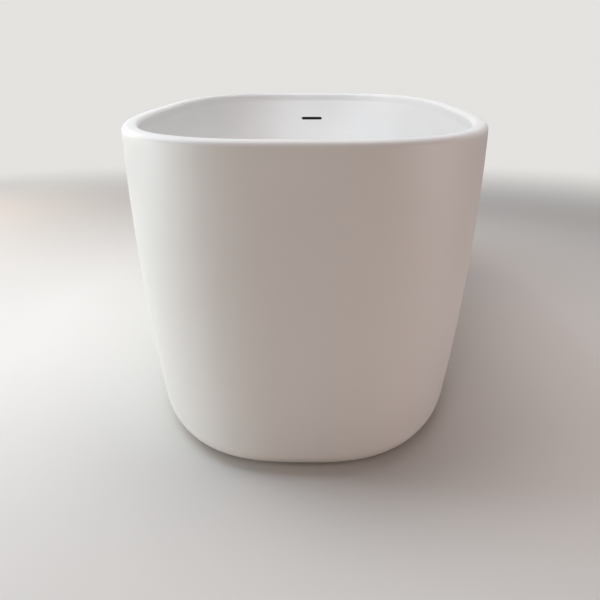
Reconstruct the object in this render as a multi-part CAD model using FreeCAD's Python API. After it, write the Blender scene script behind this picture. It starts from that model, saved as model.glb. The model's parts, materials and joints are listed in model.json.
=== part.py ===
import FreeCAD, Part
import math
import os

# A free-standing bath of cast stone. All lengths are in millimetres and all angles in degrees.
# X runs across the bath and Y along it, with the waste and the overflow at the +Y end.
# Z is up from the floor that the feet stand on, and the origin is under the middle of the bath.

# Overall size
tub_length = 1700.0
tub_width = 760.0
tub_height = 570.0
floor_gap = 10.0

# Plan outline: an oblong whose sides and ends all bow outwards
plan_power = 2.95
outline_steps = 48

# Outer wall: what each side and end comes in by from rim to foot, straight and bowed
side_lean = 18.0
side_bow = 47.0
end_lean = 6.0
end_bow = 18.0
foot_round = 29.0
wall_levels = 6

# Rim, where the outer shell and the basin are bonded together
rim_width = 30.0
rim_outer_round = 12.0
rim_inner_round = 10.0
rim_bond_depth = 30.0
lip_height = 25.0
lip_round = 15.0
bead_height = 10.0

# Stone walls
shell_wall = 12.0
flange_width = 24.0
basin_wall = 12.5
basin_floor = 14.0

# Bowl of the basin: the level of its underside, and what each wall comes in by from the lip to the floor
basin_under_z = 120.0
side_fall = 80.0
waste_end_fall = 135.0
back_end_fall = 240.0
bowl_round = 90.0

# Steel frame under the basin, with a rail across it near each end of the bath and one between them
rail_size = 30.0
rail_wall = 2.0
rail_spacing = 300.0
rail_overhang = 22.0
back_rail_inset = 380.0
waste_rail_inset = 290.0
rail_hole_gap = 0.4
cap_plate = 2.0
cap_plug = 6.0
cap_gap = 0.1

# Rubber pads between the frame and the basin
basin_pad_height = 12.0
basin_pad_length = 60.0
basin_pad_spacing = 250.0

# Blocks that join the frame to the shell, with a screw and washer each
block_width = 20.0
block_depth = 26.0
block_edge = 1.0
frame_screw_radius = 3.0
frame_screw_bite = 18.0
screw_head_radius = 6.0
screw_head_height = 4.5
washer_radius = 8.0
washer_thickness = 1.6

# Levelling feet, set in from the edge of the shell's foot
foot_inset = 37.0
stud_radius = 6.0
thread_gap = 0.05
foot_nut_flats = 19.0
foot_nut_height = 10.0
lock_nut_height = 6.0
stud_hex_flats = 14.0
stud_hex_height = 6.0
stud_hex_rise = 0.5
stud_top_gap = 4.0
stud_tip_radius = 8.0
stud_tip_height = 4.0
foot_pad_radius = 25.0
foot_pad_top_radius = 14.0
foot_pad_height = 12.0
foot_pad_rim = 4.0
sole_height = 3.0
sole_floor = 2.0

# Waste fitting in the bath floor
waste_inset = 420.0
floor_hole_radius = 26.0
recess_radius = 38.0
waste_flange_radius = 36.0
waste_flange_thickness = 2.5
flange_tube_radius = 24.4
flange_tube_bore = 21.0
flange_gasket = 1.5
waste_gasket = 3.5
body_flange_thickness = 5.0
body_radius = 32.0
chamber_radius = 28.0
chamber_height = 19.5
collar_height = 12.0
collar_bite = 10.0
sump_radius = 24.0
sump_height = 36.0
sump_floor = 4.0
strainer_hub_radius = 8.0
strainer_bar = 4.0
strainer_height = 8.0
strainer_bite = 0.5
window_width = 12.0
window_height = 12.0
overflow_port_rise = 1.0

# Pop-up plug: press it and it drops onto the flange, press again and it rises
plug_travel = 9.0
plug_shut_gap = 0.2
plug_cap_radius = 32.0
plug_cap_thickness = 6.0
plug_cap_round = 3.0
plug_boss_radius = 8.0
plug_boss_height = 10.0
plug_seal_thickness = 3.0
plug_seal_radius = 28.0
plug_seal_bore = 20.0
stem_radius = 4.5
stem_collar_radius = 6.9
stem_collar_thickness = 2.0
cartridge_radius = 9.0
cartridge_bore = 7.0
cartridge_height = 22.0
cartridge_floor = 4.0
cartridge_lid = 3.0
cartridge_stud_radius = 4.0
cartridge_stud_length = 12.0
spring_radius = 6.6
spring_wire = 1.2

# Drain pipe, unions and trap
outlet_drop = 58.0
pipe_radius = 20.0
pipe_bore = 16.5
pipe_fit = 0.15
socket_radius = 25.0
socket_length = 28.0
socket_stop = 3.0
union_washer = 4.0
union_washer_gap = 0.3
union_washer_bore_gap = 0.7
union_nut_flats = 58.0
union_nut_bite = 14.0
union_nut_face = 4.0
union_nut_gap = 0.5
union_sides = 8
trap_run = 140.0
trap_radius = 42.0
trap_wall = 3.0
trap_below_inlet = 50.0
trap_above_inlet = 26.0
trap_dip_gap = 8.0
trap_fall = 4.0
trap_neck_radius = 36.0
trap_neck_bore = 31.0
trap_neck_height = 8.0
trap_lid_wall = 4.0
trap_lid_skirt = 7.0
trap_lid_plate = 3.0
trap_lid_seal = 2.0
trap_grip_length = 50.0
trap_grip_width = 6.0
trap_grip_height = 5.0

# Overflow: the slot, the box behind it and the hose down to the waste
slot_depth_below_rim = 85.0
slot_width = 70.0
slot_height = 9.0
slot_margin = 2.0
overflow_gasket = 2.0
overflow_gasket_margin = 5.0
box_wall = 2.0
box_width = 78.0
box_above_slot = 15.0
box_below_slot = 27.0
box_back_gap = 4.0
ear_reach = 17.0
ear_height = 18.0
ear_thickness = 3.0
ear_screw_inset = 9.0
ear_screw_radius = 2.5
ear_screw_head_radius = 4.5
ear_screw_head = 3.0
ear_screw_bite = 7.0
insert_radius = 4.0
insert_length = 7.0
insert_sink = 1.0
nozzle_radius = 11.5
nozzle_bore = 8.0
nozzle_length = 28.0
hose_radius = 14.0
hose_bore = 11.6
hose_end_gap = 2.0
hose_straight = 60.0
hose_shell_gap = 13.0
hose_bend_radius = 150.0
hose_lean_radius = 400.0
clip_thickness = 2.0
clip_width = 9.0
clip_housing = 8.0

# How far every cutting shape runs past what it cuts, and how close a level has to match
overrun = 5.0
level_match = 0.01

# Levels and places worked out from the sizes above
lip_z = tub_height - lip_height
bath_floor_z = basin_under_z + basin_floor
ledge_z = tub_height - rim_bond_depth
seam_inset = (rim_outer_round + rim_width - rim_inner_round) / 2
long_rail_top_z = basin_under_z - basin_pad_height
cross_rail_top_z = long_rail_top_z - rail_size
cross_rail_under_z = cross_rail_top_z - rail_size
back_rail_y = back_rail_inset - tub_length / 2
waste_rail_y = tub_length / 2 - waste_rail_inset
middle_rail_y = (back_rail_y + waste_rail_y) / 2
flange_top_z = floor_gap + shell_wall
lock_nut_z = cross_rail_under_z - foot_nut_height - lock_nut_height
waste_y = tub_length / 2 - waste_inset
waste_flange_z = bath_floor_z - waste_flange_thickness
recess_z = waste_flange_z - flange_gasket
body_top_z = basin_under_z - waste_gasket
chamber_top_z = body_top_z - body_flange_thickness
chamber_z = chamber_top_z - chamber_height
sump_top_z = chamber_z - collar_height
sump_z = sump_top_z - sump_height
outlet_z = basin_under_z - outlet_drop
trap_y = waste_y - trap_run
trap_bottom_z = outlet_z - trap_below_inlet
trap_top_z = outlet_z + trap_above_inlet
drain_z = outlet_z - trap_fall
overflow_port_z = chamber_z + overflow_port_rise + nozzle_bore
slot_z = tub_height - slot_depth_below_rim
plug_open_z = bath_floor_z + plug_shut_gap + plug_travel
foot_pad_top_z = sole_height + foot_pad_height


def point(x, y, z):
    return FreeCAD.Vector(x, y, z)


def box(x_low, x_high, y_low, y_high, z_low, z_high):
    return Part.makeBox(x_high - x_low, y_high - y_low, z_high - z_low, point(x_low, y_low, z_low))


def upright(radius, x, y, z_low, z_high):
    """A round bar along Z."""
    return Part.makeCylinder(radius, z_high - z_low, point(x, y, z_low))


def ring(outer, inner, x, y, z_low, z_high):
    """A round collar along Z."""
    hole = upright(inner, x, y, z_low - overrun, z_high + overrun)
    return upright(outer, x, y, z_low, z_high).cut(hole)


def lying(radius, x, z, y_low, y_high):
    """A round bar along Y."""
    return Part.makeCylinder(radius, y_high - y_low, point(x, y_low, z), point(0, 1, 0))


def lying_ring(outer, inner, x, z, y_low, y_high):
    hole = lying(inner, x, z, y_low - overrun, y_high + overrun)
    return lying(outer, x, z, y_low, y_high).cut(hole)


def many_sided(flats, sides, x, y, z_low, z_high):
    """An upright prism with an even number of sides, measured across its flats."""
    reach = flats / 2 / math.cos(math.pi / sides)
    corners = []
    for side in range(sides + 1):
        turn = 2 * math.pi * (side % sides) / sides
        corners.append(point(x + reach * math.cos(turn), y + reach * math.sin(turn), z_low))
    return Part.Face(Part.makePolygon(corners)).extrude(point(0, 0, z_high - z_low))


def edges_at(shape, z):
    """The edges that lie wholly at one level."""
    found = []
    for edge in shape.Edges:
        bounds = edge.BoundBox
        if abs(bounds.ZMin - z) < level_match and abs(bounds.ZMax - z) < level_match:
            found.append(edge)
    return found


def save(name, shape):
    solids = shape.Solids
    if len(solids) == 1:
        shape = solids[0]
    shape.exportStep("parts/" + name + ".step")
    print(name, len(solids), "solid", "valid" if shape.isValid() else "NOT VALID", round(shape.Volume))


def outline(half_x, half_y, z, y_middle=0):
    """The bath's outline at one level."""
    points = []
    for step in range(outline_steps):
        turn = 2 * math.pi * step / outline_steps
        across = math.cos(turn)
        along = math.sin(turn)
        reach = (abs(across) ** plan_power + abs(along) ** plan_power) ** (-1 / plan_power)
        points.append(point(half_x * across * reach, y_middle + half_y * along * reach, z))
    curve = Part.BSplineCurve()
    curve.interpolate(Points=points, PeriodicFlag=True)
    return Part.Wire([curve.toShape()])


def prism(half_x, half_y, z_low, z_high):
    """An upright block with the bath's outline."""
    return Part.Face(outline(half_x, half_y, z_low)).extrude(point(0, 0, z_high - z_low))


def outer_half_sizes(z, skin=0):
    """Half width and half length of the outside of the bath at one level, less a skin."""
    fall = (tub_height - z) / (tub_height - floor_gap)
    half_x = tub_width / 2 - side_lean * fall - side_bow * fall * fall - skin
    half_y = tub_length / 2 - end_lean * fall - end_bow * fall * fall - skin
    return half_x, half_y


def outer_body(z_low, z_high, skin=0):
    """The outside of the bath between two levels, less a skin all round."""
    sections = []
    for level in range(wall_levels):
        z = z_low + (z_high - z_low) * level / (wall_levels - 1)
        half_x, half_y = outer_half_sizes(z, skin)
        sections.append(outline(half_x, half_y, z))
    return Part.makeLoft(sections, True, False)


def bowl_inset(fall, z, skin=0):
    """How far the bowl's wall lies inside the rim's outer edge at one level, less a skin."""
    return rim_width + fall * (lip_z - z) / (lip_z - bath_floor_z) - skin


def bowl_body(z_low, z_high, skin=0):
    """The bowl between two levels, grown by a skin all round."""
    sections = []
    for z in (z_low, z_high):
        half_x = tub_width / 2 - bowl_inset(side_fall, z, skin)
        waste_end = tub_length / 2 - bowl_inset(waste_end_fall, z, skin)
        back_end = tub_length / 2 - bowl_inset(back_end_fall, z, skin)
        sections.append(outline(half_x, (waste_end + back_end) / 2, z, (waste_end - back_end) / 2))
    return Part.makeLoft(sections, True, False)


def basin_back_y(z):
    """Where the back of the basin's wall at the waste end lies, on the middle line."""
    return tub_length / 2 - bowl_inset(waste_end_fall, z, basin_wall)


def flange_opening_x(y):
    """Half width of the opening in the shell's foot at one place along the bath."""
    half_x, half_y = outer_half_sizes(floor_gap, foot_round + flange_width)
    return half_x * (1 - (abs(y) / half_y) ** plan_power) ** (1 / plan_power)


def foot_x():
    """How far the feet stand from the middle line, the same at both ends of the frame."""
    return flange_opening_x(waste_rail_y) - foot_inset


def block_x(y):
    """Middle of the block that joins a cross rail to the shell."""
    return flange_opening_x(y) + block_edge + block_width / 2


def on_waste_wall(shape):
    """Sets a shape that is drawn on the XZ plane against the back of the waste end wall."""
    tilt = math.degrees(math.atan2(waste_end_fall, lip_z - bath_floor_z))
    shape = shape.copy()
    shape.rotate(point(0, 0, 0), point(1, 0, 0), -tilt)
    shape.translate(point(0, basin_back_y(slot_z), slot_z))
    return shape


def rounded_slot(width, height, y_low, y_high, z):
    """A slot with round ends that runs along Y."""
    end = (width - height) / 2
    middle = box(-end, end, y_low, y_high, z - height / 2, z + height / 2)
    ends = [lying(height / 2, side * end, z, y_low, y_high) for side in (-1, 1)]
    return middle.fuse(ends)


# The two stone castings
def outer_shell():
    body = outer_body(floor_gap, tub_height)
    body = body.makeFillet(rim_outer_round, edges_at(body, tub_height))
    body = body.makeFillet(foot_round, edges_at(body, floor_gap))
    hollow = outer_body(flange_top_z, ledge_z, shell_wall)
    hollow = hollow.makeFillet(foot_round - shell_wall, edges_at(hollow, flange_top_z))
    rim_half_x, rim_half_y = outer_half_sizes(tub_height, seam_inset)
    rim = prism(rim_half_x, rim_half_y, ledge_z - overrun, tub_height + overrun)
    foot_half_x, foot_half_y = outer_half_sizes(floor_gap, foot_round + flange_width)
    opening = prism(foot_half_x, foot_half_y, floor_gap - overrun, flange_top_z + overrun)
    return body.cut(hollow).cut(rim).cut(opening)


def inner_basin():
    back = bowl_body(basin_under_z, lip_z, basin_wall)
    back = back.makeFillet(bowl_round + basin_wall, edges_at(back, basin_under_z))
    rim_half_x, rim_half_y = outer_half_sizes(tub_height, seam_inset)
    back = back.fuse(prism(rim_half_x, rim_half_y, ledge_z, tub_height))
    bowl = bowl_body(bath_floor_z, lip_z)
    bowl = bowl.makeFillet(bowl_round, edges_at(bowl, bath_floor_z))
    lip_half_x, lip_half_y = outer_half_sizes(tub_height, rim_width)
    lip = prism(lip_half_x, lip_half_y, lip_z, tub_height + overrun)
    basin = back.cut(bowl).cut(lip)
    basin = basin.makeFillet(lip_round, edges_at(basin, lip_z))
    inner_edge = [e for e in edges_at(basin, tub_height) if e.BoundBox.YMax < rim_half_y - overrun]
    basin = basin.makeFillet(rim_inner_round, inner_edge)
    slot = rounded_slot(slot_width, slot_height, basin_back_y(basin_under_z), tub_length / 2, slot_z)
    hole = upright(floor_hole_radius, 0, waste_y, basin_under_z - overrun, bath_floor_z + overrun)
    recess = upright(recess_radius, 0, waste_y, recess_z, bath_floor_z + overrun)
    pockets = [ear_screw_bar(side, insert_radius, -insert_length - insert_sink, 0) for side in (-1, 1)]
    return basin.cut([slot, hole, recess] + pockets)


def rim_bead():
    """The bead of adhesive under the rim, against the ledge of both castings."""
    z_low = ledge_z - bead_height
    half_x, half_y = outer_half_sizes(z_low, shell_wall)
    hole_x, hole_y = outer_half_sizes(tub_height, rim_width - basin_wall)
    bead = prism(half_x, half_y, z_low, ledge_z)
    return bead.cut(prism(hole_x, hole_y, z_low - overrun, ledge_z + overrun))


# The steel frame
def hollow_rail(length, x, y, z, along_x):
    """A square tube with open ends, centred at x and y, with its lower face at z."""
    half = rail_size / 2
    bore = half - rail_wall
    if along_x:
        solid = box(x - length / 2, x + length / 2, y - half, y + half, z, z + rail_size)
        hole = box(x - length, x + length, y - bore, y + bore, z + rail_wall, z + rail_size - rail_wall)
    else:
        solid = box(x - half, x + half, y - length / 2, y + length / 2, z, z + rail_size)
        hole = box(x - bore, x + bore, y - length, y + length, z + rail_wall, z + rail_size - rail_wall)
    return solid.cut(hole)


def cross_rail_length(y):
    return 2 * block_x(y) + block_width


def cross_rail(y, has_feet):
    rail = hollow_rail(cross_rail_length(y), 0, y, cross_rail_under_z, True)
    z_low = cross_rail_under_z - overrun
    z_high = cross_rail_top_z + overrun
    holes = []
    for side in (-1, 1):
        holes.append(upright(frame_screw_radius + rail_hole_gap, side * block_x(y), y, z_low, z_high))
        if has_feet:
            holes.append(upright(stud_radius + rail_hole_gap, side * foot_x(), y, z_low, z_high))
    return rail.cut(holes)


def long_rail(side):
    length = waste_rail_y - back_rail_y + rail_size + 2 * rail_overhang
    return hollow_rail(length, side * rail_spacing / 2, middle_rail_y, cross_rail_top_z, False)


def rail_cap():
    """A plastic cap for the end of a rail, facing +Y, with the rail's end at y = 0."""
    half = rail_size / 2
    inner = half - rail_wall - cap_gap
    plate = box(-half, half, 0, cap_plate, -half, half)
    return plate.fuse(box(-inner, inner, -cap_plug, 0, -inner, inner))


def rail_caps():
    caps = []
    long_half = (waste_rail_y - back_rail_y + rail_size + 2 * rail_overhang) / 2
    for side in (-1, 1):
        for end in (-1, 1):
            cap = rail_cap()
            if end < 0:
                cap.rotate(point(0, 0, 0), point(0, 0, 1), 180)
            cap.translate(point(side * rail_spacing / 2, middle_rail_y + end * long_half,
                                cross_rail_top_z + rail_size / 2))
            caps.append(cap)
        for y in (back_rail_y, middle_rail_y, waste_rail_y):
            cap = rail_cap()
            cap.rotate(point(0, 0, 0), point(0, 0, 1), -side * 90)
            cap.translate(point(side * cross_rail_length(y) / 2, y, cross_rail_under_z + rail_size / 2))
            caps.append(cap)
    return Part.makeCompound(caps)


def basin_pads():
    """Rubber pads on the long rails, under the flat of the basin."""
    flat_middle = (back_end_fall - waste_end_fall) / 2
    half = rail_size / 2
    pads = []
    for side in (-1, 1):
        for place in (-1, 0, 1):
            x = side * rail_spacing / 2
            y = flat_middle + place * basin_pad_spacing
            pads.append(box(x - half, x + half, y - basin_pad_length / 2, y + basin_pad_length / 2,
                            long_rail_top_z, basin_under_z))
    return Part.makeCompound(pads)


def at_each_block(make):
    """One copy of a piece for each end of each cross rail."""
    pieces = []
    for y in (back_rail_y, middle_rail_y, waste_rail_y):
        for side in (-1, 1):
            pieces.append(make(side * block_x(y), y))
    return Part.makeCompound(pieces)


def shell_block(x, y):
    block = box(x - block_width / 2, x + block_width / 2, y - block_depth / 2, y + block_depth / 2,
                flange_top_z, cross_rail_under_z)
    tip_z = cross_rail_under_z - frame_screw_bite
    return block.cut(upright(frame_screw_radius, x, y, tip_z, cross_rail_under_z + overrun))


def frame_washer(x, y):
    return ring(washer_radius, frame_screw_radius + rail_hole_gap, x, y,
                cross_rail_top_z, cross_rail_top_z + washer_thickness)


def frame_screw(x, y):
    head_z = cross_rail_top_z + washer_thickness
    shank = upright(frame_screw_radius, x, y, cross_rail_under_z - frame_screw_bite, head_z)
    return shank.fuse(many_sided(2 * screw_head_radius, 6, x, y, head_z, head_z + screw_head_height))


# The levelling feet
def at_each_foot(make):
    pieces = []
    for y in (back_rail_y, waste_rail_y):
        for side in (-1, 1):
            pieces.append(make(side * foot_x(), y))
    return Part.makeCompound(pieces)


def nut(x, y, z, height):
    bore = upright(stud_radius + thread_gap, x, y, z - overrun, z + height + overrun)
    return many_sided(foot_nut_flats, 6, x, y, z, z + height).cut(bore)


def foot_nut(x, y):
    return nut(x, y, cross_rail_under_z - foot_nut_height, foot_nut_height)


def foot_lock_nut(x, y):
    return nut(x, y, lock_nut_z, lock_nut_height)


def foot_stud(x, y):
    """The threaded stud, with a hexagon to turn it by and a round tip that sits in the pad."""
    hex_z = foot_pad_top_z + stud_hex_rise
    tip_z = foot_pad_top_z - stud_tip_height - stud_tip_radius / 2
    rod = upright(stud_radius, x, y, tip_z, cross_rail_top_z - stud_top_gap)
    hexagon = many_sided(stud_hex_flats, 6, x, y, hex_z, hex_z + stud_hex_height)
    tip = upright(stud_tip_radius, x, y, tip_z, tip_z + stud_tip_height)
    return rod.fuse([hexagon, tip])


def foot_pad(x, y):
    """The pad under a stud: a low cone with a socket for the stud's tip."""
    low = upright(foot_pad_radius, x, y, sole_height, sole_height + foot_pad_rim)
    cone = Part.makeCone(foot_pad_radius, foot_pad_top_radius, foot_pad_height - foot_pad_rim,
                         point(x, y, sole_height + foot_pad_rim))
    tip_z = foot_pad_top_z - stud_tip_height - stud_tip_radius / 2
    socket = upright(stud_tip_radius + thread_gap, x, y, tip_z - thread_gap,
                     tip_z + stud_tip_height + thread_gap)
    neck = upright(stud_radius + thread_gap, x, y, tip_z, foot_pad_top_z + overrun)
    return low.fuse(cone).cut([socket, neck])


def foot_sole(x, y):
    """The rubber sole, a shallow cup that is pressed over the foot of the pad."""
    cup = upright(foot_pad_radius + sole_floor, x, y, 0, sole_height + foot_pad_rim / 2)
    return cup.cut(upright(foot_pad_radius, x, y, sole_height, foot_pad_top_z))


# The waste fitting
def waste_flange():
    disc = upright(waste_flange_radius, 0, waste_y, waste_flange_z, bath_floor_z)
    disc = disc.makeFillet(waste_flange_thickness / 2, edges_at(disc, bath_floor_z))
    tube_z = chamber_z - collar_bite
    body = disc.fuse(upright(flange_tube_radius, 0, waste_y, tube_z, waste_flange_z))
    body = body.cut(upright(flange_tube_bore, 0, waste_y, tube_z - overrun, bath_floor_z + overrun))
    strainer_top_z = chamber_z + strainer_height
    strainer = upright(strainer_hub_radius, 0, waste_y, chamber_z, strainer_top_z)
    reach = flange_tube_bore + strainer_bite
    for turn in (45, 135):
        bar = box(-reach, reach, -strainer_bar / 2, strainer_bar / 2, chamber_z, strainer_top_z)
        bar.rotate(point(0, 0, 0), point(0, 0, 1), turn)
        bar.translate(point(0, waste_y, 0))
        strainer = strainer.fuse(bar)
    hole = upright(cartridge_stud_radius, 0, waste_y, chamber_z - overrun, strainer_top_z + overrun)
    body = body.fuse(strainer.cut(hole))
    window_z = chamber_top_z - window_height - waste_flange_thickness
    half = window_width / 2
    reach = flange_tube_radius + overrun
    across = box(-reach, reach, waste_y - half, waste_y + half, window_z, window_z + window_height)
    along = box(-half, half, waste_y - reach, waste_y + reach, window_z, window_z + window_height)
    core = upright(flange_tube_bore, 0, waste_y, chamber_z, bath_floor_z)
    return body.cut([across.cut(core), along.cut(core)])


def flange_gasket_ring():
    return ring(waste_flange_radius, floor_hole_radius, 0, waste_y, recess_z, waste_flange_z)


def waste_gasket_ring():
    return ring(waste_flange_radius, floor_hole_radius, 0, waste_y, body_top_z, basin_under_z)


def waste_body():
    """The moulding under the bath: a chamber for the overflow water above a sump with the outlet."""
    body = upright(waste_flange_radius, 0, waste_y, chamber_top_z, body_top_z)
    body = body.fuse(upright(body_radius, 0, waste_y, sump_z - sump_floor, chamber_top_z))
    outlet_end = trap_y + trap_radius + socket_stop
    nozzle_end = waste_y + body_radius + nozzle_length
    body = body.fuse([lying(pipe_radius, 0, outlet_z, outlet_end, waste_y),
                      lying(nozzle_radius, 0, overflow_port_z, waste_y, nozzle_end)])
    holes = [upright(chamber_radius, 0, waste_y, chamber_z, chamber_top_z),
             upright(flange_tube_radius, 0, waste_y, chamber_z - collar_bite, body_top_z + overrun),
             upright(flange_tube_bore, 0, waste_y, sump_z, chamber_z),
             upright(sump_radius, 0, waste_y, sump_z, sump_top_z),
             lying(pipe_bore, 0, outlet_z, outlet_end - overrun, waste_y),
             lying(nozzle_bore, 0, overflow_port_z, waste_y + flange_tube_radius + waste_flange_thickness,
                   nozzle_end + overrun)]
    return body.cut(holes)


# The plug
def plug_cartridge():
    z_low = chamber_z + strainer_height
    z_high = z_low + cartridge_height
    body = upright(cartridge_radius, 0, waste_y, z_low, z_high)
    stud = upright(cartridge_stud_radius, 0, waste_y, z_low - cartridge_stud_length, z_low)
    bore = upright(cartridge_bore, 0, waste_y, z_low + cartridge_floor, z_high - cartridge_lid)
    hole = upright(stem_radius + thread_gap, 0, waste_y, z_low + cartridge_floor, z_high + overrun)
    return body.fuse(stud).cut([bore, hole])


def stem_collar_z():
    """Underside of the collar on the stem, with the plug up."""
    lid_z = chamber_z + strainer_height + cartridge_height - cartridge_lid
    return lid_z - thread_gap - stem_collar_thickness


def plug_stem():
    top_z = plug_open_z + plug_seal_thickness - thread_gap
    stem = upright(stem_radius, 0, waste_y, stem_collar_z(), top_z)
    collar_z = stem_collar_z()
    return stem.fuse(upright(stem_collar_radius, 0, waste_y, collar_z, collar_z + stem_collar_thickness))


def plug_spring():
    z_low = chamber_z + strainer_height + cartridge_floor
    return ring(spring_radius, spring_radius - spring_wire, 0, waste_y, z_low, stem_collar_z())


def plug_cap():
    z_low = plug_open_z + plug_seal_thickness
    cap = upright(plug_cap_radius, 0, waste_y, z_low, z_low + plug_cap_thickness)
    cap = cap.makeFillet(plug_cap_round, edges_at(cap, z_low + plug_cap_thickness))
    boss = upright(plug_boss_radius, 0, waste_y, z_low - plug_boss_height, z_low)
    hole = upright(stem_radius, 0, waste_y, z_low - plug_boss_height - overrun, z_low - thread_gap)
    return cap.fuse(boss).cut(hole)


def plug_seal():
    top_z = plug_open_z + plug_seal_thickness
    return ring(plug_seal_radius, plug_seal_bore, 0, waste_y, plug_open_z, top_z)


# The trap and its unions
def union_nut(mouth_y, way, z):
    """A union nut over a socket whose mouth faces the way given, +1 or -1 along Y."""
    length = union_nut_bite + union_washer + union_nut_face
    body = many_sided(union_nut_flats, union_sides, 0, 0, 0, length)
    thread = upright(socket_radius, 0, 0, -overrun, union_nut_bite + union_washer)
    hole = upright(pipe_radius + union_nut_gap, 0, 0, 0, length + overrun)
    body = body.cut([thread, hole])
    body.rotate(point(0, 0, 0), point(1, 0, 0), -90 * way)
    body.translate(point(0, mouth_y - way * union_nut_bite, z))
    return body


def union_washer_ring(mouth_y, way, z):
    y_low = min(mouth_y, mouth_y + way * union_washer)
    outer = socket_radius - union_washer_gap
    bore = pipe_radius + union_washer_bore_gap
    return lying_ring(outer, bore, 0, z, y_low, y_low + union_washer)


def trap_arm(radius, way, start, end, z):
    """A round bar on one side of the trap, between two distances from the trap's middle."""
    y_low, y_high = sorted((trap_y + way * start, trap_y + way * end))
    return lying(radius, 0, z, y_low, y_high)


def trap_body():
    """The drum of the trap, with a dip plate across it and an outlet a little below its inlet."""
    body = upright(trap_radius, 0, trap_y, trap_bottom_z, trap_top_z)
    body = body.fuse(upright(trap_neck_radius, 0, trap_y, trap_top_z, trap_top_z + trap_neck_height))
    reach = trap_radius + socket_length
    mouth = pipe_radius + pipe_fit
    holes = []
    for way, z in ((1, outlet_z), (-1, drain_z)):
        body = body.fuse(trap_arm(socket_radius, way, 0, reach, z))
        holes.append(trap_arm(mouth, way, trap_radius, reach + overrun, z))
        holes.append(trap_arm(pipe_bore, way, 0, trap_radius + overrun, z))
    inside = upright(trap_radius - trap_wall, 0, trap_y, trap_bottom_z + trap_wall, trap_top_z - trap_wall)
    neck_top_z = trap_top_z + trap_neck_height
    neck = upright(trap_neck_bore, 0, trap_y, trap_top_z - trap_wall, neck_top_z + overrun)
    body = body.cut([inside, neck] + holes)
    dip_half = math.sqrt((trap_radius - trap_wall / 2) ** 2 - (trap_wall / 2) ** 2)
    neck_half = math.sqrt((trap_neck_bore + trap_wall / 2) ** 2 - (trap_wall / 2) ** 2)
    dip_z = trap_bottom_z + trap_wall + trap_dip_gap
    dip = box(-dip_half, dip_half, trap_y - trap_wall / 2, trap_y + trap_wall / 2,
              dip_z, trap_top_z - trap_wall / 2)
    neck_dip = box(-neck_half, neck_half, trap_y - trap_wall / 2, trap_y + trap_wall / 2,
                   trap_top_z - trap_wall, neck_top_z)
    return body.fuse([dip, neck_dip])


def trap_lid():
    seal_z = trap_top_z + trap_neck_height
    top_z = seal_z + trap_lid_seal
    outer = trap_neck_radius + trap_lid_wall
    lid = upright(outer, 0, trap_y, seal_z - trap_lid_skirt, top_z + trap_lid_plate)
    lid = lid.cut(upright(trap_neck_radius, 0, trap_y, seal_z - trap_lid_skirt - overrun, top_z))
    grip_z = top_z + trap_lid_plate
    grip = box(-trap_grip_length / 2, trap_grip_length / 2, trap_y - trap_grip_width / 2,
               trap_y + trap_grip_width / 2, grip_z, grip_z + trap_grip_height)
    return lid.fuse(grip)


def trap_seal():
    seal_z = trap_top_z + trap_neck_height
    return ring(trap_neck_radius, trap_neck_bore, 0, trap_y, seal_z, seal_z + trap_lid_seal)


# The overflow
def box_front_y(z, skin):
    """Front of the overflow box at one level: on its gasket, less a skin measured square to it."""
    tilt = math.atan2(waste_end_fall, lip_z - bath_floor_z)
    return basin_back_y(z) + (overflow_gasket + skin) / math.cos(tilt)


def box_back_y():
    half_x, half_y = outer_half_sizes(slot_z, shell_wall)
    return half_y - box_back_gap


def box_profile(skin):
    top_z = slot_z + box_above_slot - skin
    low_z = slot_z - box_below_slot + skin
    half = box_width / 2 - skin
    corners = [point(-half, box_front_y(low_z, skin), low_z), point(-half, box_back_y() - skin, low_z),
               point(-half, box_back_y() - skin, top_z), point(-half, box_front_y(top_z, skin), top_z)]
    return Part.Face(Part.makePolygon(corners + corners[:1])).extrude(point(2 * half, 0, 0))


def nozzle_y():
    low_z = slot_z - box_below_slot
    return (box_front_y(low_z, 0) + box_back_y()) / 2


def ear_screw_bar(side, radius, y_low, y_high):
    """A round bar square to the waste end wall, at one of the overflow box's ears."""
    x = side * (box_width / 2 + ear_reach - ear_screw_inset)
    return on_waste_wall(lying(radius, x, 0, y_low, y_high))


def overflow_box():
    half = box_width / 2 + ear_reach
    ears = on_waste_wall(box(-half, half, overflow_gasket, overflow_gasket + ear_thickness,
                             -ear_height / 2, ear_height / 2))
    low_z = slot_z - box_below_slot
    nozzle = upright(nozzle_radius, 0, nozzle_y(), low_z - nozzle_length, low_z + box_wall)
    body = box_profile(0).fuse([ears, nozzle])
    inlet_half = slot_width / 2 + slot_margin
    inlet_rise = slot_height / 2 + slot_margin
    inlet = on_waste_wall(box(-inlet_half, inlet_half, 0, overflow_gasket + ear_thickness,
                              -inlet_rise, inlet_rise))
    hole = upright(nozzle_bore, 0, nozzle_y(), low_z - nozzle_length - overrun, low_z + box_wall)
    ear_back = overflow_gasket + 2 * ear_thickness
    screw_holes = [ear_screw_bar(side, ear_screw_radius, 0, ear_back) for side in (-1, 1)]
    return body.cut([box_profile(box_wall), inlet, hole] + screw_holes)


def overflow_gasket_plate():
    inlet_half = slot_width / 2 + slot_margin
    inlet_rise = slot_height / 2 + slot_margin
    half = inlet_half + overflow_gasket_margin
    rise = inlet_rise + overflow_gasket_margin
    plate = box(-half, half, 0, overflow_gasket, -rise, rise)
    hole = box(-inlet_half, inlet_half, -overrun, overflow_gasket + overrun, -inlet_rise, inlet_rise)
    return on_waste_wall(plate.cut(hole))


def overflow_screw(side):
    face = overflow_gasket + ear_thickness
    shank = ear_screw_bar(side, ear_screw_radius, -ear_screw_bite, face)
    return shank.fuse(ear_screw_bar(side, ear_screw_head_radius, face, face + ear_screw_head))


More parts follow.
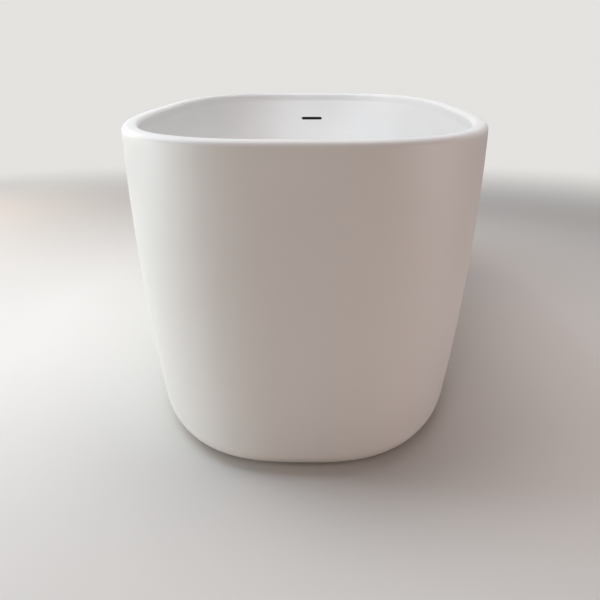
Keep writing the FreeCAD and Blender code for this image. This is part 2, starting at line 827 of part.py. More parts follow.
def overflow_insert(side):
    outer = ear_screw_bar(side, insert_radius, -insert_length - insert_sink, -insert_sink)
    return outer.cut(ear_screw_bar(side, ear_screw_radius, -insert_length - 2 * insert_sink, overrun))


def bend(before, corner, after, radius):
    """The arc that rounds one corner of the hose's route, with the points where it starts and ends."""
    back = (before - corner).normalize()
    ahead = (after - corner).normalize()
    half_turn = (math.pi - back.getAngle(ahead)) / 2
    cut = radius * math.tan(half_turn)
    start = corner + back * cut
    end = corner + ahead * cut
    inward = (back + ahead).normalize()
    middle = corner + inward * (radius / math.cos(half_turn) - radius)
    return start, end, Part.Arc(start, middle, end).toShape()


def hose_route():
    """Down from the overflow box, close behind the basin, then under it to the waste."""
    top = point(0, nozzle_y(), slot_z - box_below_slot - hose_end_gap)
    knee = top - point(0, 0, hose_straight)
    half_x, half_y = outer_half_sizes(overflow_port_z, shell_wall)
    corner = point(0, half_y - hose_radius - hose_shell_gap, overflow_port_z)
    end = point(0, waste_y + waste_flange_radius + hose_end_gap, overflow_port_z)
    knee_start, knee_end, knee_arc = bend(top, knee, corner, hose_lean_radius)
    bend_start, bend_end, bend_arc = bend(knee, corner, end, hose_bend_radius)
    edges = [Part.LineSegment(top, knee_start).toShape(), knee_arc,
             Part.LineSegment(knee_end, bend_start).toShape(), bend_arc,
             Part.LineSegment(bend_end, end).toShape()]
    return Part.Wire(edges)


def overflow_hose():
    route = hose_route()
    start = route.Vertexes[0].Point
    tubes = []
    for radius in (hose_radius, hose_bore):
        circle = Part.Wire([Part.Circle(start, point(0, 0, 1), radius).toShape()])
        tubes.append(route.makePipeShell([circle], True, False))
    print("hose length", round(route.Length, 1), "bends", hose_lean_radius, hose_bend_radius)
    return tubes[0].cut(tubes[1])


def hose_clip(x, y, z, along_y):
    """A worm-drive clip: a band with its screw housing on top."""
    outer = hose_radius + clip_thickness
    band = ring(outer, hose_radius, 0, 0, -clip_width / 2, clip_width / 2)
    housing = box(outer - clip_thickness, outer + clip_housing / 2, -clip_housing, clip_housing,
                  -clip_width / 2, clip_width / 2)
    clip = band.fuse(housing.cut(upright(hose_radius, 0, 0, -clip_width, clip_width)))
    if along_y:
        clip.rotate(point(0, 0, 0), point(1, 0, 0), 90)
    clip.translate(point(x, y, z))
    return clip


def hose_clips():
    low_z = slot_z - box_below_slot
    upper = hose_clip(0, nozzle_y(), low_z - nozzle_length / 2, False)
    lower = hose_clip(0, waste_y + body_radius + nozzle_length / 2, overflow_port_z, True)
    return Part.makeCompound([upper, lower])


def main():
    os.makedirs("parts", exist_ok=True)
    save("outer_shell", outer_shell())
    save("inner_basin", inner_basin())
    save("rim_bead", rim_bead())
    save("shell_blocks", at_each_block(shell_block))
    save("frame_rail_left", long_rail(-1))
    save("frame_rail_right", long_rail(1))
    save("cross_rail_back", cross_rail(back_rail_y, True))
    save("cross_rail_middle", cross_rail(middle_rail_y, False))
    save("cross_rail_waste", cross_rail(waste_rail_y, True))
    save("rail_caps", rail_caps())
    save("frame_screws", at_each_block(frame_screw))
    save("frame_washers", at_each_block(frame_washer))
    save("basin_pads", basin_pads())
    save("foot_nuts", at_each_foot(foot_nut))
    save("foot_lock_nuts", at_each_foot(foot_lock_nut))
    for end_name, y in (("back", back_rail_y), ("waste", waste_rail_y)):
        for side_name, side in (("left", -1), ("right", 1)):
            x = side * foot_x()
            place = end_name + "_" + side_name
            save("foot_stud_" + place, foot_stud(x, y))
            save("foot_pad_" + place, foot_pad(x, y))
            save("foot_sole_" + place, foot_sole(x, y))
    save("waste_flange", waste_flange())
    save("flange_gasket", flange_gasket_ring())
    save("waste_gasket", waste_gasket_ring())
    save("waste_body", waste_body())
    save("plug_cartridge", plug_cartridge())
    save("plug_spring", plug_spring())
    save("plug_stem", plug_stem())
    save("plug_seal", plug_seal())
    save("plug_cap", plug_cap())
    inlet_mouth = trap_y + trap_radius + socket_length
    outlet_mouth = trap_y - trap_radius - socket_length
    save("inlet_nut", union_nut(inlet_mouth, 1, outlet_z))
    save("inlet_washer", union_washer_ring(inlet_mouth, 1, outlet_z))
    save("outlet_nut", union_nut(outlet_mouth, -1, drain_z))
    save("outlet_washer", union_washer_ring(outlet_mouth, -1, drain_z))
    save("trap_body", trap_body())
    save("trap_lid", trap_lid())
    save("trap_seal", trap_seal())
    save("overflow_box", overflow_box())
    save("overflow_gasket", overflow_gasket_plate())
    save("overflow_screws", Part.makeCompound([overflow_screw(-1), overflow_screw(1)]))
    save("overflow_inserts", Part.makeCompound([overflow_insert(-1), overflow_insert(1)]))
    save("overflow_hose", overflow_hose())
    save("hose_clips", hose_clips())


main()
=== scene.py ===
import json
import math

import bpy
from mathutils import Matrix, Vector


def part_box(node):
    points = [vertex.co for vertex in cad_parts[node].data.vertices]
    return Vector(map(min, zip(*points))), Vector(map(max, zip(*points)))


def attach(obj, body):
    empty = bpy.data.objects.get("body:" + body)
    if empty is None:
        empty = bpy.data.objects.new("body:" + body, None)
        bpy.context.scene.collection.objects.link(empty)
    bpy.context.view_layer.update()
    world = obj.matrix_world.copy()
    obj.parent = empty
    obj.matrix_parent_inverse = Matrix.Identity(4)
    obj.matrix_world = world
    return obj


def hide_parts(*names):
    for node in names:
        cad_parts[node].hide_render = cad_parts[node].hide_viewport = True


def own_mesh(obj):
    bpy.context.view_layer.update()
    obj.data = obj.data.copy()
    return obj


# A free-standing bath of cast stone, in metres: X across it, Y along it towards the waste, Z up.

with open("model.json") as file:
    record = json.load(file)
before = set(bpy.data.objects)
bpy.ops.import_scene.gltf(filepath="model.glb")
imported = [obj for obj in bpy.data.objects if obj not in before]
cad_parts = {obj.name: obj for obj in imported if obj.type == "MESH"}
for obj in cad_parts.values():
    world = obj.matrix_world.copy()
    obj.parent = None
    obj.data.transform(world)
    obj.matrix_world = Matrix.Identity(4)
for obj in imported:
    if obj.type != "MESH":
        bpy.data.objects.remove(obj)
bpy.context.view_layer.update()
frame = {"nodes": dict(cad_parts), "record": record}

# Overall size and the plan outline, whose sides and ends all bow outwards
tub_length = 1.700
tub_width = 0.760
tub_height = 0.570
floor_gap = 0.010
plan_power = 2.95
outline_points = 256

# Outer wall: what each side and end comes in by from rim to foot, straight and bowed
side_lean = 0.018
side_bow = 0.047
end_lean = 0.006
end_bow = 0.018
foot_bevel = 0.032
wall_levels = 16

# The plan's power at the foot, where its corners are rounder
foot_power = 2.8

# Rim and stone walls
rim_width = 0.030
rim_outer_round = 0.012
rim_inner_round = 0.010
rim_bond_depth = 0.030
seam_inset = (rim_outer_round + rim_width - rim_inner_round) / 2
lip_height = 0.025
lip_bevel = 0.003
shell_wall = 0.012
flange_width = 0.024
foot_round = 0.029
hollow_bevel = 0.015
basin_wall = 0.0125
basin_floor = 0.014

# Bowl: depth, and what each wall comes in by from the lip to the floor
bath_depth = 0.436
side_fall = 0.080
waste_end_fall = 0.135
back_end_fall = 0.240
bowl_bevel = 0.066
bowl_levels = 4
floor_margin = 0.085

# Waste in the bath floor and slot in the end wall
waste_y = 0.430
recess_radius = 0.038
floor_hole_radius = 0.026
recess_depth = 0.004
waste_points = 64
slot_drop = 0.085
slot_z = tub_height - slot_drop
slot_width = 0.070
slot_height = 0.009
slot_edge = 0.0007
slot_end_share = 0.999

# Pop-up plug: a crowned cap on a boss, and the coil under it
cap_radius = 0.032
cap_thickness = 0.006
cap_round = 0.003
cap_crown = 0.001
boss_radius = 0.008
cap_round_steps = 6
crown_shares = (0.75, 0.5, 0.25)
cap_points = 64
coil_wire = 0.0012
coil_turns = 2.25
coil_points = 8
coil_steps = 60

# Levelling feet: the stud's thread, its hexagon and the tip that sits in the pad
foot_places = ("back_left", "back_right", "waste_left", "waste_right")
thread_radius = 0.006
thread_lead = 0.00175
thread_depth = 0.00107
thread_ridge = 0.00087
thread_sides = 3
hexagon_sides = 6
hexagon_flats = 0.014
hexagon_height = 0.006
hexagon_rise = 0.0005
tip_radius = 0.008
tip_height = 0.004
stud_points = 24

# Steps in each rounded edge
rim_steps = 10
foot_steps = 12
hollow_steps = 4
lip_steps = 4
bowl_steps = 16
under_steps = 6
slot_end_steps = 10
slot_edge_steps = 3

# Steepest edge, in degrees, that still shades smooth: most pieces, the plug's cap and its spring
smooth_angle = 30
cap_smooth_angle = 40
coil_smooth_angle = 60

# Finishes: the stretch of a noise that a range of roughness or a pair of tones is spread over
rough_noise = (0.3, 0.7)
tone_noise = (0.35, 0.65)
grains_per_cloud = 8
grain_detail = 4.0
cloud_detail = 3.0

# The photo's view: lens and sensor in millimetres, its place, and radians it looks down and turns left
camera_lens = 48
camera_sensor = 36
camera_place = (0.0306, -2.0607, 0.6895)
camera_down = 0.2948
camera_turn = 0.025

# The studio: what the camera sees of the floor and backdrop, and what they send back as light
floor_size = 14
fade_start = 1.7
fade_end = 3.6
backdrop_colour = (0.78, 0.765, 0.745)
floor_seen = (0.78, 0.765, 0.745)
floor_lighting = (0.74, 0.66, 0.57)
floor_roughness = 0.7
floor_gloss = 0.2
air_lighting = (0.0, 0.0, 0.0)

# Lamps: name, place, width and height, watts and colour. All of them face the middle of the bath.
mid_bath = (0, 0, 0.35)
lamps = [
    ("window_low", (-2.6, -0.6, 0.4), (2.6, 0.6), 29, (0.9, 0.97, 1)),
    ("window_back", (-2.2, 1.6, 0.9), (1.6, 1.2), 15, (1, 0.8, 0.66)),
    ("window_top", (-1.7, 0, 2.5), (1.6, 2), 38, (0.77, 0.9, 0.98)),
    ("ceiling", (0, 0, 2.9), (2, 2), 44, (1, 0.94, 0.93)),
    ("room_front", (0, -3, 1.5), (1.5, 1.2), 11.4, (1, 0.81, 0.75)),
    ("room_low", (2.5, -1, 0.4), (2, 0.6), 12.5, (1, 0.82, 0.8)),
]

# Levels worked out from the sizes above
lip_z = tub_height - lip_height
bath_floor_z = tub_height - bath_depth
basin_under_z = bath_floor_z - basin_floor
ledge_z = tub_height - rim_bond_depth
flange_top_z = floor_gap + shell_wall
recess_z = bath_floor_z - recess_depth

# How close a point has to lie to count as on a level or on an outline, or as one with another
level_match = 0.0002
outline_match = 0.01
merge_distance = 0.00001


# Selecting and editing
def clear_selection():
    bpy.ops.object.select_all(action="DESELECT")


def edit(piece):
    clear_selection()
    piece.select_set(True)
    bpy.context.view_layer.objects.active = piece
    bpy.ops.object.mode_set(mode="EDIT")


def done():
    bpy.ops.object.mode_set(mode="OBJECT")


def select_where(piece, kind, test):
    """In edit mode, selects the vertices, edges or faces that pass a test on their points."""
    done()
    mesh = piece.data
    for vertex in mesh.vertices:
        vertex.select = False
    for edge in mesh.edges:
        edge.select = False
    for face in mesh.polygons:
        face.select = False
    parts = {"VERT": mesh.vertices, "EDGE": mesh.edges, "FACE": mesh.polygons}[kind]
    for part in parts:
        points = [part.co] if kind == "VERT" else [mesh.vertices[i].co for i in part.vertices]
        part.select = all(test(point) for point in points)
    bpy.ops.object.mode_set(mode="EDIT")
    bpy.ops.mesh.select_mode(type=kind)


def finish_mesh(piece, angle=smooth_angle):
    """Merges doubles, turns the faces outwards and shades the piece smooth."""
    edit(piece)
    bpy.ops.mesh.select_all(action="SELECT")
    bpy.ops.mesh.remove_doubles(threshold=merge_distance)
    bpy.ops.mesh.normals_make_consistent(inside=False)
    done()
    bpy.ops.object.shade_smooth_by_angle(angle=math.radians(angle))


# Levels: half width, half length, middle along Y, height
def outer_level(z, skin=0):
    fall = (tub_height - z) / (tub_height - floor_gap)
    half_x = tub_width / 2 - side_lean * fall - side_bow * fall * fall - skin
    half_y = tub_length / 2 - end_lean * fall - end_bow * fall * fall - skin
    return half_x, half_y, 0, z


def bowl_level(z, skin=0):
    drop = (lip_z - z) / (lip_z - bath_floor_z)
    half_x = tub_width / 2 - rim_width - side_fall * drop + skin
    waste_end = tub_length / 2 - rim_width - waste_end_fall * drop + skin
    back_end = tub_length / 2 - rim_width - back_end_fall * drop + skin
    return half_x, (waste_end + back_end) / 2, (waste_end - back_end) / 2, z


def at_height(level, z):
    return level[0], level[1], level[2], z


def inside(level, margin):
    return level[0] - margin, level[1] - margin, level[2], level[3]


def levels_between(make, z_start, z_end, count, skin=0):
    return [make(z_start + (z_end - z_start) * step / count, skin) for step in range(count + 1)]


def ring_stack(name, levels):
    """A wall that follows the bath's outline from level to level."""
    clear_selection()
    bpy.ops.mesh.primitive_circle_add(vertices=outline_points, radius=1, location=(0, 0, 0))
    piece = bpy.context.active_object
    piece.name = name
    piece.data.name = name
    for vertex in piece.data.vertices:
        across = abs(vertex.co.x)
        along = abs(vertex.co.y)
        vertex.co *= (across ** plan_power + along ** plan_power) ** (-1 / plan_power)
    edit(piece)
    bpy.ops.mesh.select_all(action="SELECT")
    half_x, half_y, middle, z = levels[0]
    bpy.ops.transform.resize(value=(half_x, half_y, 1), center_override=(0, 0, 0))
    bpy.ops.transform.translate(value=(0, middle, z))
    before = levels[0]
    for level in levels[1:]:
        move = (0, level[2] - before[2], level[3] - before[3])
        bpy.ops.mesh.extrude_region_move(TRANSFORM_OT_translate={"value": move})
        bpy.ops.transform.resize(value=(level[0] / before[0], level[1] / before[1], 1),
                                 center_override=(0, level[2], level[3]))
        before = level
    done()
    return piece


def on_level(level):
    """A test for points on one level's outline."""
    half_x, half_y, middle, z = level

    def test(point):
        if abs(point.z - z) > level_match:
            return False
        across = abs(point.x) / half_x
        along = abs(point.y - middle) / half_y
        return abs(across ** plan_power + along ** plan_power - 1) < outline_match
    return test


def round_loop(piece, level, offset, segments):
    """Bevels the edge loop that lies on one level."""
    edit(piece)
    select_where(piece, "EDGE", on_level(level))
    bpy.ops.mesh.bevel(offset=offset, segments=segments, profile=0.5, affect="EDGES")
    done()


def turned(name, x, y, profile, points):
    """A solid turned about an upright axis, from a profile of radii and heights."""
    clear_selection()
    before, z_before = profile[0]
    bpy.ops.mesh.primitive_circle_add(vertices=points, radius=before, fill_type="NGON", location=(0, 0, 0))
    piece = bpy.context.active_object
    piece.name = name
    piece.data.name = name
    edit(piece)
    bpy.ops.mesh.select_all(action="SELECT")
    bpy.ops.transform.translate(value=(x, y, z_before))
    for radius, z in profile[1:]:
        bpy.ops.mesh.extrude_region_move(TRANSFORM_OT_translate={"value": (0, 0, z - z_before)})
        grow = radius / before
        bpy.ops.transform.resize(value=(grow, grow, 1), center_override=(x, y, z))
        before, z_before = radius, z
    done()
    return piece


def coil(name, place, radius, wire, sides, rise, turns, steps):
    """A wire of a few sides wound round an upright axis, with its first corner outwards."""
    clear_selection()
    bpy.ops.mesh.primitive_circle_add(vertices=sides, radius=wire, location=(0, 0, 0))
    piece = bpy.context.active_object
    piece.name = name
    piece.data.name = name
    edit(piece)
    bpy.ops.mesh.select_all(action="SELECT")
    bpy.ops.transform.rotate(value=math.pi / 2, orient_axis="Z", center_override=(0, 0, 0))
    bpy.ops.transform.rotate(value=math.pi / 2, orient_axis="X", center_override=(0, 0, 0))
    bpy.ops.transform.translate(value=(radius, 0, 0))
    done()
    winding = piece.modifiers.new("winding", "SCREW")
    winding.axis = "Z"
    winding.angle = 2 * math.pi * turns
    winding.screw_offset = rise
    winding.steps = steps
    winding.render_steps = steps
    bpy.ops.object.modifier_apply(modifier=winding.name)
    edit(piece)
    bpy.ops.mesh.select_all(action="SELECT")
    bpy.ops.mesh.fill_holes(sides=sides)
    bpy.ops.mesh.select_all(action="SELECT")
    bpy.ops.transform.translate(value=place)
    done()
    return piece


def join(pieces):
    clear_selection()
    for piece in pieces:
        piece.select_set(True)
    bpy.context.view_layer.objects.active = pieces[0]
    bpy.ops.object.join()
    return bpy.context.active_object


# The stone castings
def outer_shell():
    rim = outer_level(tub_height)
    seam = inside(rim, seam_inset)
    foot = outer_level(floor_gap)
    opening = inside(foot, foot_round + flange_width)
    hollow_foot = outer_level(flange_top_z, shell_wall)
    levels = [seam]
    levels += levels_between(outer_level, tub_height, floor_gap, wall_levels)
    levels += [opening, at_height(opening, flange_top_z)]
    levels += levels_between(outer_level, flange_top_z, ledge_z, wall_levels // 2, shell_wall)
    levels += [at_height(seam, ledge_z), seam]
    shell = ring_stack("stone_shell", levels)
    round_loop(shell, rim, rim_outer_round, rim_steps)
    round_loop(shell, foot, foot_bevel, foot_steps)
    round_loop(shell, hollow_foot, hollow_bevel, hollow_steps)
    ease_corners(shell)
    finish_mesh(shell)
    return shell


def ease_corners(shell):
    """Makes the corners of the plan rounder towards the foot."""
    for vertex in shell.data.vertices:
        half_x, half_y, _, _ = outer_level(vertex.co.z)
        across = abs(vertex.co.x) / half_x
        along = abs(vertex.co.y) / half_y
        fall = (tub_height - vertex.co.z) / (tub_height - floor_gap)
        power = plan_power + (foot_power - plan_power) * fall
        reach = (across ** plan_power + along ** plan_power) ** (1 / plan_power)
        eased = (across ** power + along ** power) ** (1 / power)
        vertex.co.x *= reach / eased
        vertex.co.y *= reach / eased


def waste_hole():
    """The stepped hole for the waste, from the bath floor down to its underside."""
    bpy.ops.mesh.select_all(action="DESELECT")
    bpy.ops.mesh.primitive_circle_add(vertices=waste_points, radius=recess_radius,
                                      location=(0, waste_y, bath_floor_z))
    bpy.ops.mesh.extrude_region_move(TRANSFORM_OT_translate={"value": (0, 0, recess_z - bath_floor_z)})
    bpy.ops.mesh.extrude_region_move(TRANSFORM_OT_translate={"value": (0, 0, 0)})
    shrink = floor_hole_radius / recess_radius
    bpy.ops.transform.resize(value=(shrink, shrink, 1), center_override=(0, waste_y, recess_z))
    bpy.ops.mesh.extrude_region_move(TRANSFORM_OT_translate={"value": (0, 0, basin_under_z - recess_z)})


def fill_flat(piece, z, loops):
    """Fills the flat between two loops that lie at one height."""
    def test(point):
        return abs(point.z - z) < level_match and any(loop(point) for loop in loops)
    select_where(piece, "EDGE", test)
    bpy.ops.mesh.fill(use_beauty=True)


def round_hole(radius):
    def test(point):
        return abs(math.hypot(point.x, point.y - waste_y) - radius) < level_match
    return test


def overflow_cutter():
    """A flat bar with round ends that runs through the waste end wall."""
    clear_selection()
    bpy.ops.mesh.primitive_cube_add(size=1, location=(0, tub_length / 2 - slot_width / 2, slot_z))
    cutter = bpy.context.active_object
    edit(cutter)
    bpy.ops.mesh.select_all(action="SELECT")
    bpy.ops.transform.resize(value=(slot_width, slot_width, slot_height))
    done()
    mesh = cutter.data
    for edge in mesh.edges:
        ends = [mesh.vertices[i].co for i in edge.vertices]
        edge.select = abs(ends[0].y - ends[1].y) > slot_height
    bpy.ops.object.mode_set(mode="EDIT")
    bpy.ops.mesh.select_mode(type="EDGE")
    bpy.ops.mesh.bevel(offset=slot_height / 2 * slot_end_share, segments=slot_end_steps, profile=0.5,
                       affect="EDGES")
    done()
    return cutter


def cut_slot(basin):
    cutter = overflow_cutter()
    clear_selection()
    bpy.context.view_layer.objects.active = basin
    basin.select_set(True)
    slot = basin.modifiers.new("slot", "BOOLEAN")
    slot.operation = "DIFFERENCE"
    slot.solver = "EXACT"
    slot.object = cutter
    bpy.ops.object.modifier_apply(modifier=slot.name)
    bpy.data.objects.remove(cutter)
    soften_slot(basin)


def soften_slot(basin):
    """Takes the sharp edge off the slot where it opens into the bowl."""
    _, half_length, middle, _ = bowl_level(slot_z)
    wall_y = middle + half_length

    def at_mouth(point):
        across = abs(point.x) < slot_width / 2 + level_match
        upright = abs(point.z - slot_z) < slot_height / 2 + level_match
        return across and upright and abs(point.y - wall_y) < basin_wall / 2
    edit(basin)
    select_where(basin, "EDGE", at_mouth)
    bpy.ops.mesh.bevel(offset=slot_edge, segments=slot_edge_steps, profile=0.5, affect="EDGES")
    done()


def inner_basin():
    rim = outer_level(tub_height)
    seam = inside(rim, seam_inset)
    rim_edge = inside(rim, rim_width)
    lip = at_height(rim_edge, lip_z)
    floor_edge = bowl_level(bath_floor_z)
    floor_flat = inside(floor_edge, floor_margin)
    under_edge = bowl_level(basin_under_z, basin_wall)
    under_flat = at_height(floor_flat, basin_under_z)
    levels = [floor_flat]
    levels += levels_between(bowl_level, bath_floor_z, lip_z, bowl_levels)[:-1]
    levels += [lip, rim_edge, seam, at_height(seam, ledge_z)]
    levels += levels_between(bowl_level, ledge_z, basin_under_z, bowl_levels, basin_wall)
    levels += [under_flat]
    basin = ring_stack("stone_basin", levels)
    edit(basin)
    waste_hole()
    fill_flat(basin, bath_floor_z, [on_level(floor_flat), round_hole(recess_radius)])
    fill_flat(basin, basin_under_z, [on_level(under_flat), round_hole(floor_hole_radius)])
    done()
    round_loop(basin, rim_edge, rim_inner_round, rim_steps)
    round_loop(basin, lip, lip_bevel, lip_steps)
    round_loop(basin, floor_edge, bowl_bevel, bowl_steps)
    round_loop(basin, under_edge, bowl_bevel, under_steps)
    cut_slot(basin)
    finish_mesh(basin)
    return basin


# The plug, its spring and the feet
def plug_cap():
    """The plug's cap, crowned and rounded at its edge, with the boss that sits on the stem."""
    low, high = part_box("plug_cap")
    under_z = high[2] - cap_thickness
    crown_z = high[2] - cap_crown
    crown_radius = cap_radius - cap_round
    profile = [(boss_radius, low[2]), (boss_radius, under_z), (cap_radius, under_z)]
    for step in range(cap_round_steps + 1):
        turn = math.pi / 2 * step / cap_round_steps
        radius = crown_radius + cap_round * math.cos(turn)
        profile.append((radius, crown_z - cap_round * (1 - math.sin(turn))))
    for share in crown_shares:
        profile.append((crown_radius * share, high[2] - cap_crown * share * share))
    cap = turned("plug_crown", 0, waste_y, profile, cap_points)
    finish_mesh(cap, cap_smooth_angle)
    return cap


def plug_spring():
    """The coil that lifts the plug."""
    low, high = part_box("plug_spring")
    radius = (high[0] - low[0]) / 2 - coil_wire / 2
    place = (0, waste_y, low[2] + coil_wire / 2)
    rise = high[2] - low[2] - coil_wire
    spring = coil("spring_coil", place, radius, coil_wire / 2, coil_points, rise, coil_turns, coil_steps)
    finish_mesh(spring, coil_smooth_angle)
    return spring


def press_spring(spring):
    """Gives the spring a mesh of its own."""
    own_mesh(spring)


def foot_stud(place):
    """The threaded stud of one foot, with its hexagon and the tip that sits in the pad."""
    low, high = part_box("foot_stud_" + place)
    x = (low[0] + high[0]) / 2
    y = (low[1] + high[1]) / 2
    tip_z = low[2] + tip_height
    core_radius = thread_radius - thread_depth
    _, pad_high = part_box("foot_pad_" + place)
    hexagon_z = pad_high[2] + hexagon_rise
    thread_z = hexagon_z + hexagon_height
    profile = [(tip_radius, low[2]), (tip_radius, tip_z), (core_radius, tip_z), (core_radius, high[2])]
    core = turned("stud_core_" + place, x, y, profile, stud_points)
    corner = hexagon_flats / math.sqrt(3)
    profile = [(corner, hexagon_z), (corner, thread_z)]
    hexagon = turned("stud_hexagon_" + place, x, y, profile, hexagon_sides)
    rise = high[2] - thread_z - thread_lead
    turns = rise / thread_lead
    thread = coil("stud_thread_" + place, (x, y, thread_z + thread_lead / 2), thread_radius - thread_ridge,
                  thread_ridge, thread_sides, rise, turns, round(turns * stud_points))
    stud = join([core, hexagon, thread])
    finish_mesh(stud)
    return stud


# Materials
def new_material(name, colour, roughness, metallic=0.0):
    material = bpy.data.materials.new(name)
    material.use_nodes = True
    shader = material.node_tree.nodes["Principled BSDF"]
    shader.inputs["Base Color"].default_value = (*colour, 1)
    shader.inputs["Roughness"].default_value = roughness
    shader.inputs["Metallic"].default_value = metallic
    return material, material.node_tree, shader


def object_noise(tree, scale, detail, stretch=(1, 1, 1)):
    """Noise on the object's own coordinates, stretched along one axis if asked."""
    place = tree.nodes.new("ShaderNodeTexCoord")
    mapping = tree.nodes.new("ShaderNodeMapping")
    mapping.inputs["Scale"].default_value = stretch
    noise = tree.nodes.new("ShaderNodeTexNoise")
    noise.inputs["Scale"].default_value = scale
    noise.inputs["Detail"].default_value = detail
    tree.links.new(place.outputs["Object"], mapping.inputs["Vector"])
    tree.links.new(mapping.outputs["Vector"], noise.inputs["Vector"])
    return noise.outputs["Fac"]


def spread(tree, source, low, high):
    """Maps the middle of a noise onto a range of values."""
    ranged = tree.nodes.new("ShaderNodeMapRange")
    ranged.inputs["From Min"].default_value = rough_noise[0]
    ranged.inputs["From Max"].default_value = rough_noise[1]
    ranged.inputs["To Min"].default_value = low
    ranged.inputs["To Max"].default_value = high
    tree.links.new(source, ranged.inputs["Value"])
    return ranged.outputs["Result"]


def two_tone(tree, shader, source, dark, light):
    ramp = tree.nodes.new("ShaderNodeValToRGB")
    ramp.color_ramp.elements[0].position = tone_noise[0]
    ramp.color_ramp.elements[0].color = (*dark, 1)
    ramp.color_ramp.elements[1].position = tone_noise[1]
    ramp.color_ramp.elements[1].color = (*light, 1)
    tree.links.new(source, ramp.inputs["Fac"])
    tree.links.new(ramp.outputs["Color"], shader.inputs["Base Color"])


def rough_skin(tree, shader, source, low, high):
    tree.links.new(spread(tree, source, low, high), shader.inputs["Roughness"])


def relief(tree, shader, source, depth, strength=1.0):
    bump = tree.nodes.new("ShaderNodeBump")
    bump.inputs["Strength"].default_value = strength
    bump.inputs["Distance"].default_value = depth
    tree.links.new(source, bump.inputs["Height"])
    tree.links.new(bump.outputs["Normal"], shader.inputs["Normal"])


def cast_stone():
    """White mineral casting, sanded to a satin: faint clouding, an even fine grain, little gloss."""
    material, tree, shader = new_material("cast_stone", (0.84, 0.84, 0.83), 0.42)
    clouds = object_noise(tree, scale=3.5, detail=4.0)
    patches = object_noise(tree, scale=14, detail=5.0)
    grain = object_noise(tree, scale=900, detail=2.0)
    two_tone(tree, shader, clouds, (0.835, 0.833, 0.825), (0.855, 0.855, 0.852))
    rough_skin(tree, shader, patches, 0.38, 0.47)
    relief(tree, shader, grain, 0.00003, 0.6)
    shader.inputs["Specular IOR Level"].default_value = 0.3
    return material


def plain_finish(name, dark, light, polish, grain, depth, metallic=0.0, stretch=(1, 1, 1)):
    """A finish with a fine grain of its own: two tones, uneven polish and a shallow relief."""
    smooth, rough = polish
    material, tree, shader = new_material(name, light, rough, metallic)
    fine = object_noise(tree, grain, grain_detail, stretch)
    clouds = object_noise(tree, grain / grains_per_cloud, cloud_detail, stretch)
    two_tone(tree, shader, clouds, dark, light)
    rough_skin(tree, shader, fine, smooth, rough)
    relief(tree, shader, fine, depth)
    return material


def frame_steel():
    """Bare steel of the frame, with its grain drawn out along the bath."""
    return plain_finish("frame_steel", (0.5, 0.52, 0.54), (0.64, 0.66, 0.68), (0.3, 0.5),
                        grain=160, depth=0.00004, metallic=1.0, stretch=(1, 0.2, 1))


def finishes():
    """One material for each finish in the record."""
    return {
        "stone_white": cast_stone(),
        "bond_adhesive": plain_finish("bond_adhesive", (0.72, 0.69, 0.6), (0.8, 0.78, 0.7), (0.5, 0.7),
                                      grain=300, depth=0.0002),
        "resin_block": plain_finish("resin_block", (0.55, 0.5, 0.41), (0.66, 0.61, 0.52), (0.55, 0.75),
                                    grain=500, depth=0.0001),
        "frame_steel": frame_steel(),
        "zinc_steel": plain_finish("zinc_steel", (0.62, 0.62, 0.6), (0.75, 0.75, 0.73), (0.25, 0.42),
                                   grain=900, depth=0.00002, metallic=1.0),
        "black_plastic": plain_finish("black_plastic", (0.02, 0.02, 0.022), (0.035, 0.035, 0.037),
                                      (0.42, 0.55), grain=1400, depth=0.00005),
        "black_rubber": plain_finish("black_rubber", (0.016, 0.016, 0.016), (0.028, 0.028, 0.028),
                                     (0.65, 0.85), grain=1100, depth=0.00006),
        "waste_chrome": plain_finish("waste_chrome", (0.78, 0.79, 0.81), (0.84, 0.85, 0.87), (0.05, 0.1),
                                     grain=700, depth=0.000003, metallic=1.0),
        "brass_fitting": plain_finish("brass_fitting", (0.66, 0.5, 0.24), (0.78, 0.62, 0.32), (0.25, 0.4),
                                      grain=900, depth=0.00001, metallic=1.0),
        "spring_steel": plain_finish("spring_steel", (0.56, 0.57, 0.58), (0.68, 0.69, 0.7), (0.22, 0.35),
                                     grain=900, depth=0.00001, metallic=1.0),
        "white_plastic": plain_finish("white_plastic", (0.8, 0.8, 0.79), (0.86, 0.86, 0.85), (0.35, 0.48),
                                      grain=1200, depth=0.00003),
        "grey_hose": plain_finish("grey_hose", (0.4, 0.41, 0.42), (0.48, 0.49, 0.5), (0.45, 0.6),
                                  grain=900, depth=0.00004),
    }


def set_material(piece, material):
    piece.data.materials.clear()
    piece.data.materials.append(material)


def dress_cad_nodes(made):
    for row in frame["record"]["subparts"]:
        set_material(frame["nodes"][row["node"]], made[row["material_slot"]])


def dress(piece, body, slot, made, nodes):
    set_material(piece, made[slot])
    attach(piece, body)
    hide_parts(*nodes)


# The studio
def area_lamp(name, place, size, power, colour):
    """A soft lamp that faces the bath and lights it without being seen itself."""
    lamp = bpy.data.lights.new(name, "AREA")
    lamp.shape = "RECTANGLE"
    lamp.size, lamp.size_y = size
    lamp.energy = power
    lamp.color = colour
    holder = bpy.data.objects.new(name, lamp)
    bpy.context.scene.collection.objects.link(holder)
    holder.location = place
    holder.rotation_euler = (Vector(mid_bath) - Vector(place)).to_track_quat("-Z", "Y").to_euler()
    holder.visible_camera = False


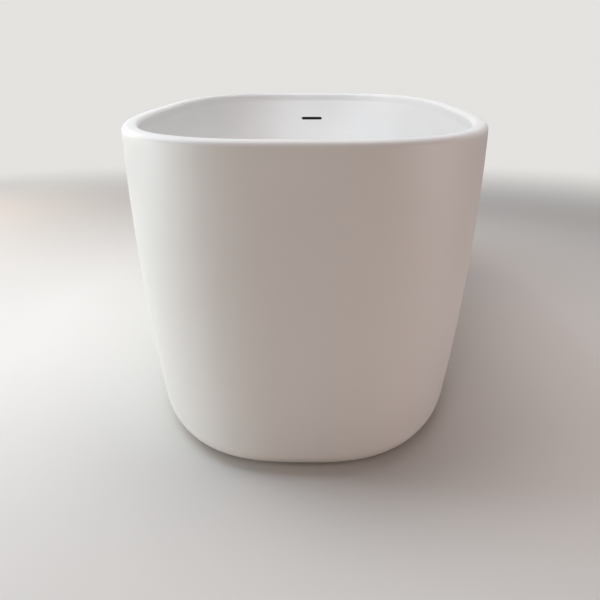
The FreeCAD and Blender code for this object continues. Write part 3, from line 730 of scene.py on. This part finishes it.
def seen_or_lighting(tree, seen, lighting):
    """One colour for what the camera, a gloss or a glass sees, and another for what lights the bath."""
    paths = tree.nodes.new("ShaderNodeLightPath")
    factor = paths.outputs["Is Camera Ray"]
    for other in ("Is Glossy Ray", "Is Transmission Ray"):
        either = tree.nodes.new("ShaderNodeMath")
        either.operation = "MAXIMUM"
        tree.links.new(factor, either.inputs[0])
        tree.links.new(paths.outputs[other], either.inputs[1])
        factor = either.outputs["Value"]
    mix = tree.nodes.new("ShaderNodeMix")
    mix.data_type = "RGBA"
    tree.links.new(factor, mix.inputs["Factor"])
    mix.inputs["A"].default_value = (*lighting, 1)
    mix.inputs["B"].default_value = (*seen, 1)
    return mix.outputs["Result"]


def fade_to_backdrop(tree, shader):
    """Far from the bath the camera sees the floor pass into the backdrop, with no horizon."""
    place = tree.nodes.new("ShaderNodeTexCoord")
    distance = tree.nodes.new("ShaderNodeVectorMath")
    distance.operation = "LENGTH"
    tree.links.new(place.outputs["Object"], distance.inputs[0])
    ranged = tree.nodes.new("ShaderNodeMapRange")
    ranged.interpolation_type = "SMOOTHSTEP"
    ranged.inputs["From Min"].default_value = fade_start
    ranged.inputs["From Max"].default_value = fade_end
    tree.links.new(distance.outputs["Value"], ranged.inputs["Value"])
    paths = tree.nodes.new("ShaderNodeLightPath")
    seen = tree.nodes.new("ShaderNodeMath")
    seen.operation = "MULTIPLY"
    tree.links.new(ranged.outputs["Result"], seen.inputs[0])
    tree.links.new(paths.outputs["Is Camera Ray"], seen.inputs[1])
    backdrop = tree.nodes.new("ShaderNodeEmission")
    backdrop.inputs["Color"].default_value = (*backdrop_colour, 1)
    mix = tree.nodes.new("ShaderNodeMixShader")
    tree.links.new(seen.outputs["Value"], mix.inputs["Fac"])
    tree.links.new(shader.outputs["BSDF"], mix.inputs[1])
    tree.links.new(backdrop.outputs["Emission"], mix.inputs[2])
    tree.links.new(mix.outputs["Shader"], tree.nodes["Material Output"].inputs["Surface"])


def studio():
    clear_selection()
    bpy.ops.mesh.primitive_plane_add(size=floor_size, location=(0, 0, 0))
    ground = bpy.context.active_object
    ground.name = "studio_floor"
    material, tree, shader = new_material("pale_floor", floor_seen, floor_roughness)
    colour = seen_or_lighting(tree, floor_seen, floor_lighting)
    tree.links.new(colour, shader.inputs["Base Color"])
    shader.inputs["Specular IOR Level"].default_value = floor_gloss
    fade_to_backdrop(tree, shader)
    set_material(ground, material)
    world = bpy.data.worlds.new("studio_air")
    bpy.context.scene.world = world
    world.use_nodes = True
    backing = world.node_tree.nodes["Background"]
    colour = seen_or_lighting(world.node_tree, backdrop_colour, air_lighting)
    world.node_tree.links.new(colour, backing.inputs["Color"])
    for name, place, size, power, colour in lamps:
        area_lamp(name, place, size, power, colour)


def camera():
    data = bpy.data.cameras.new("photo_view")
    data.lens = camera_lens
    data.sensor_width = camera_sensor
    holder = bpy.data.objects.new("photo_view", data)
    bpy.context.scene.collection.objects.link(holder)
    holder.location = camera_place
    holder.rotation_euler = (math.pi / 2 - camera_down, 0, camera_turn)
    bpy.context.scene.camera = holder


def main():
    camera()
    made = finishes()
    dress_cad_nodes(made)
    dress(outer_shell(), "tub", "stone_white", made, ["outer_shell"])
    dress(inner_basin(), "tub", "stone_white", made, ["inner_basin"])
    dress(plug_cap(), "plug", "stone_white", made, ["plug_cap"])
    spring = plug_spring()
    dress(spring, "tub", "spring_steel", made, ["plug_spring"])
    press_spring(spring)
    for place in foot_places:
        dress(foot_stud(place), "foot_stud_" + place, "zinc_steel", made, ["foot_stud_" + place])
    studio()
    bpy.context.scene.view_settings.view_transform = "Standard"


main()
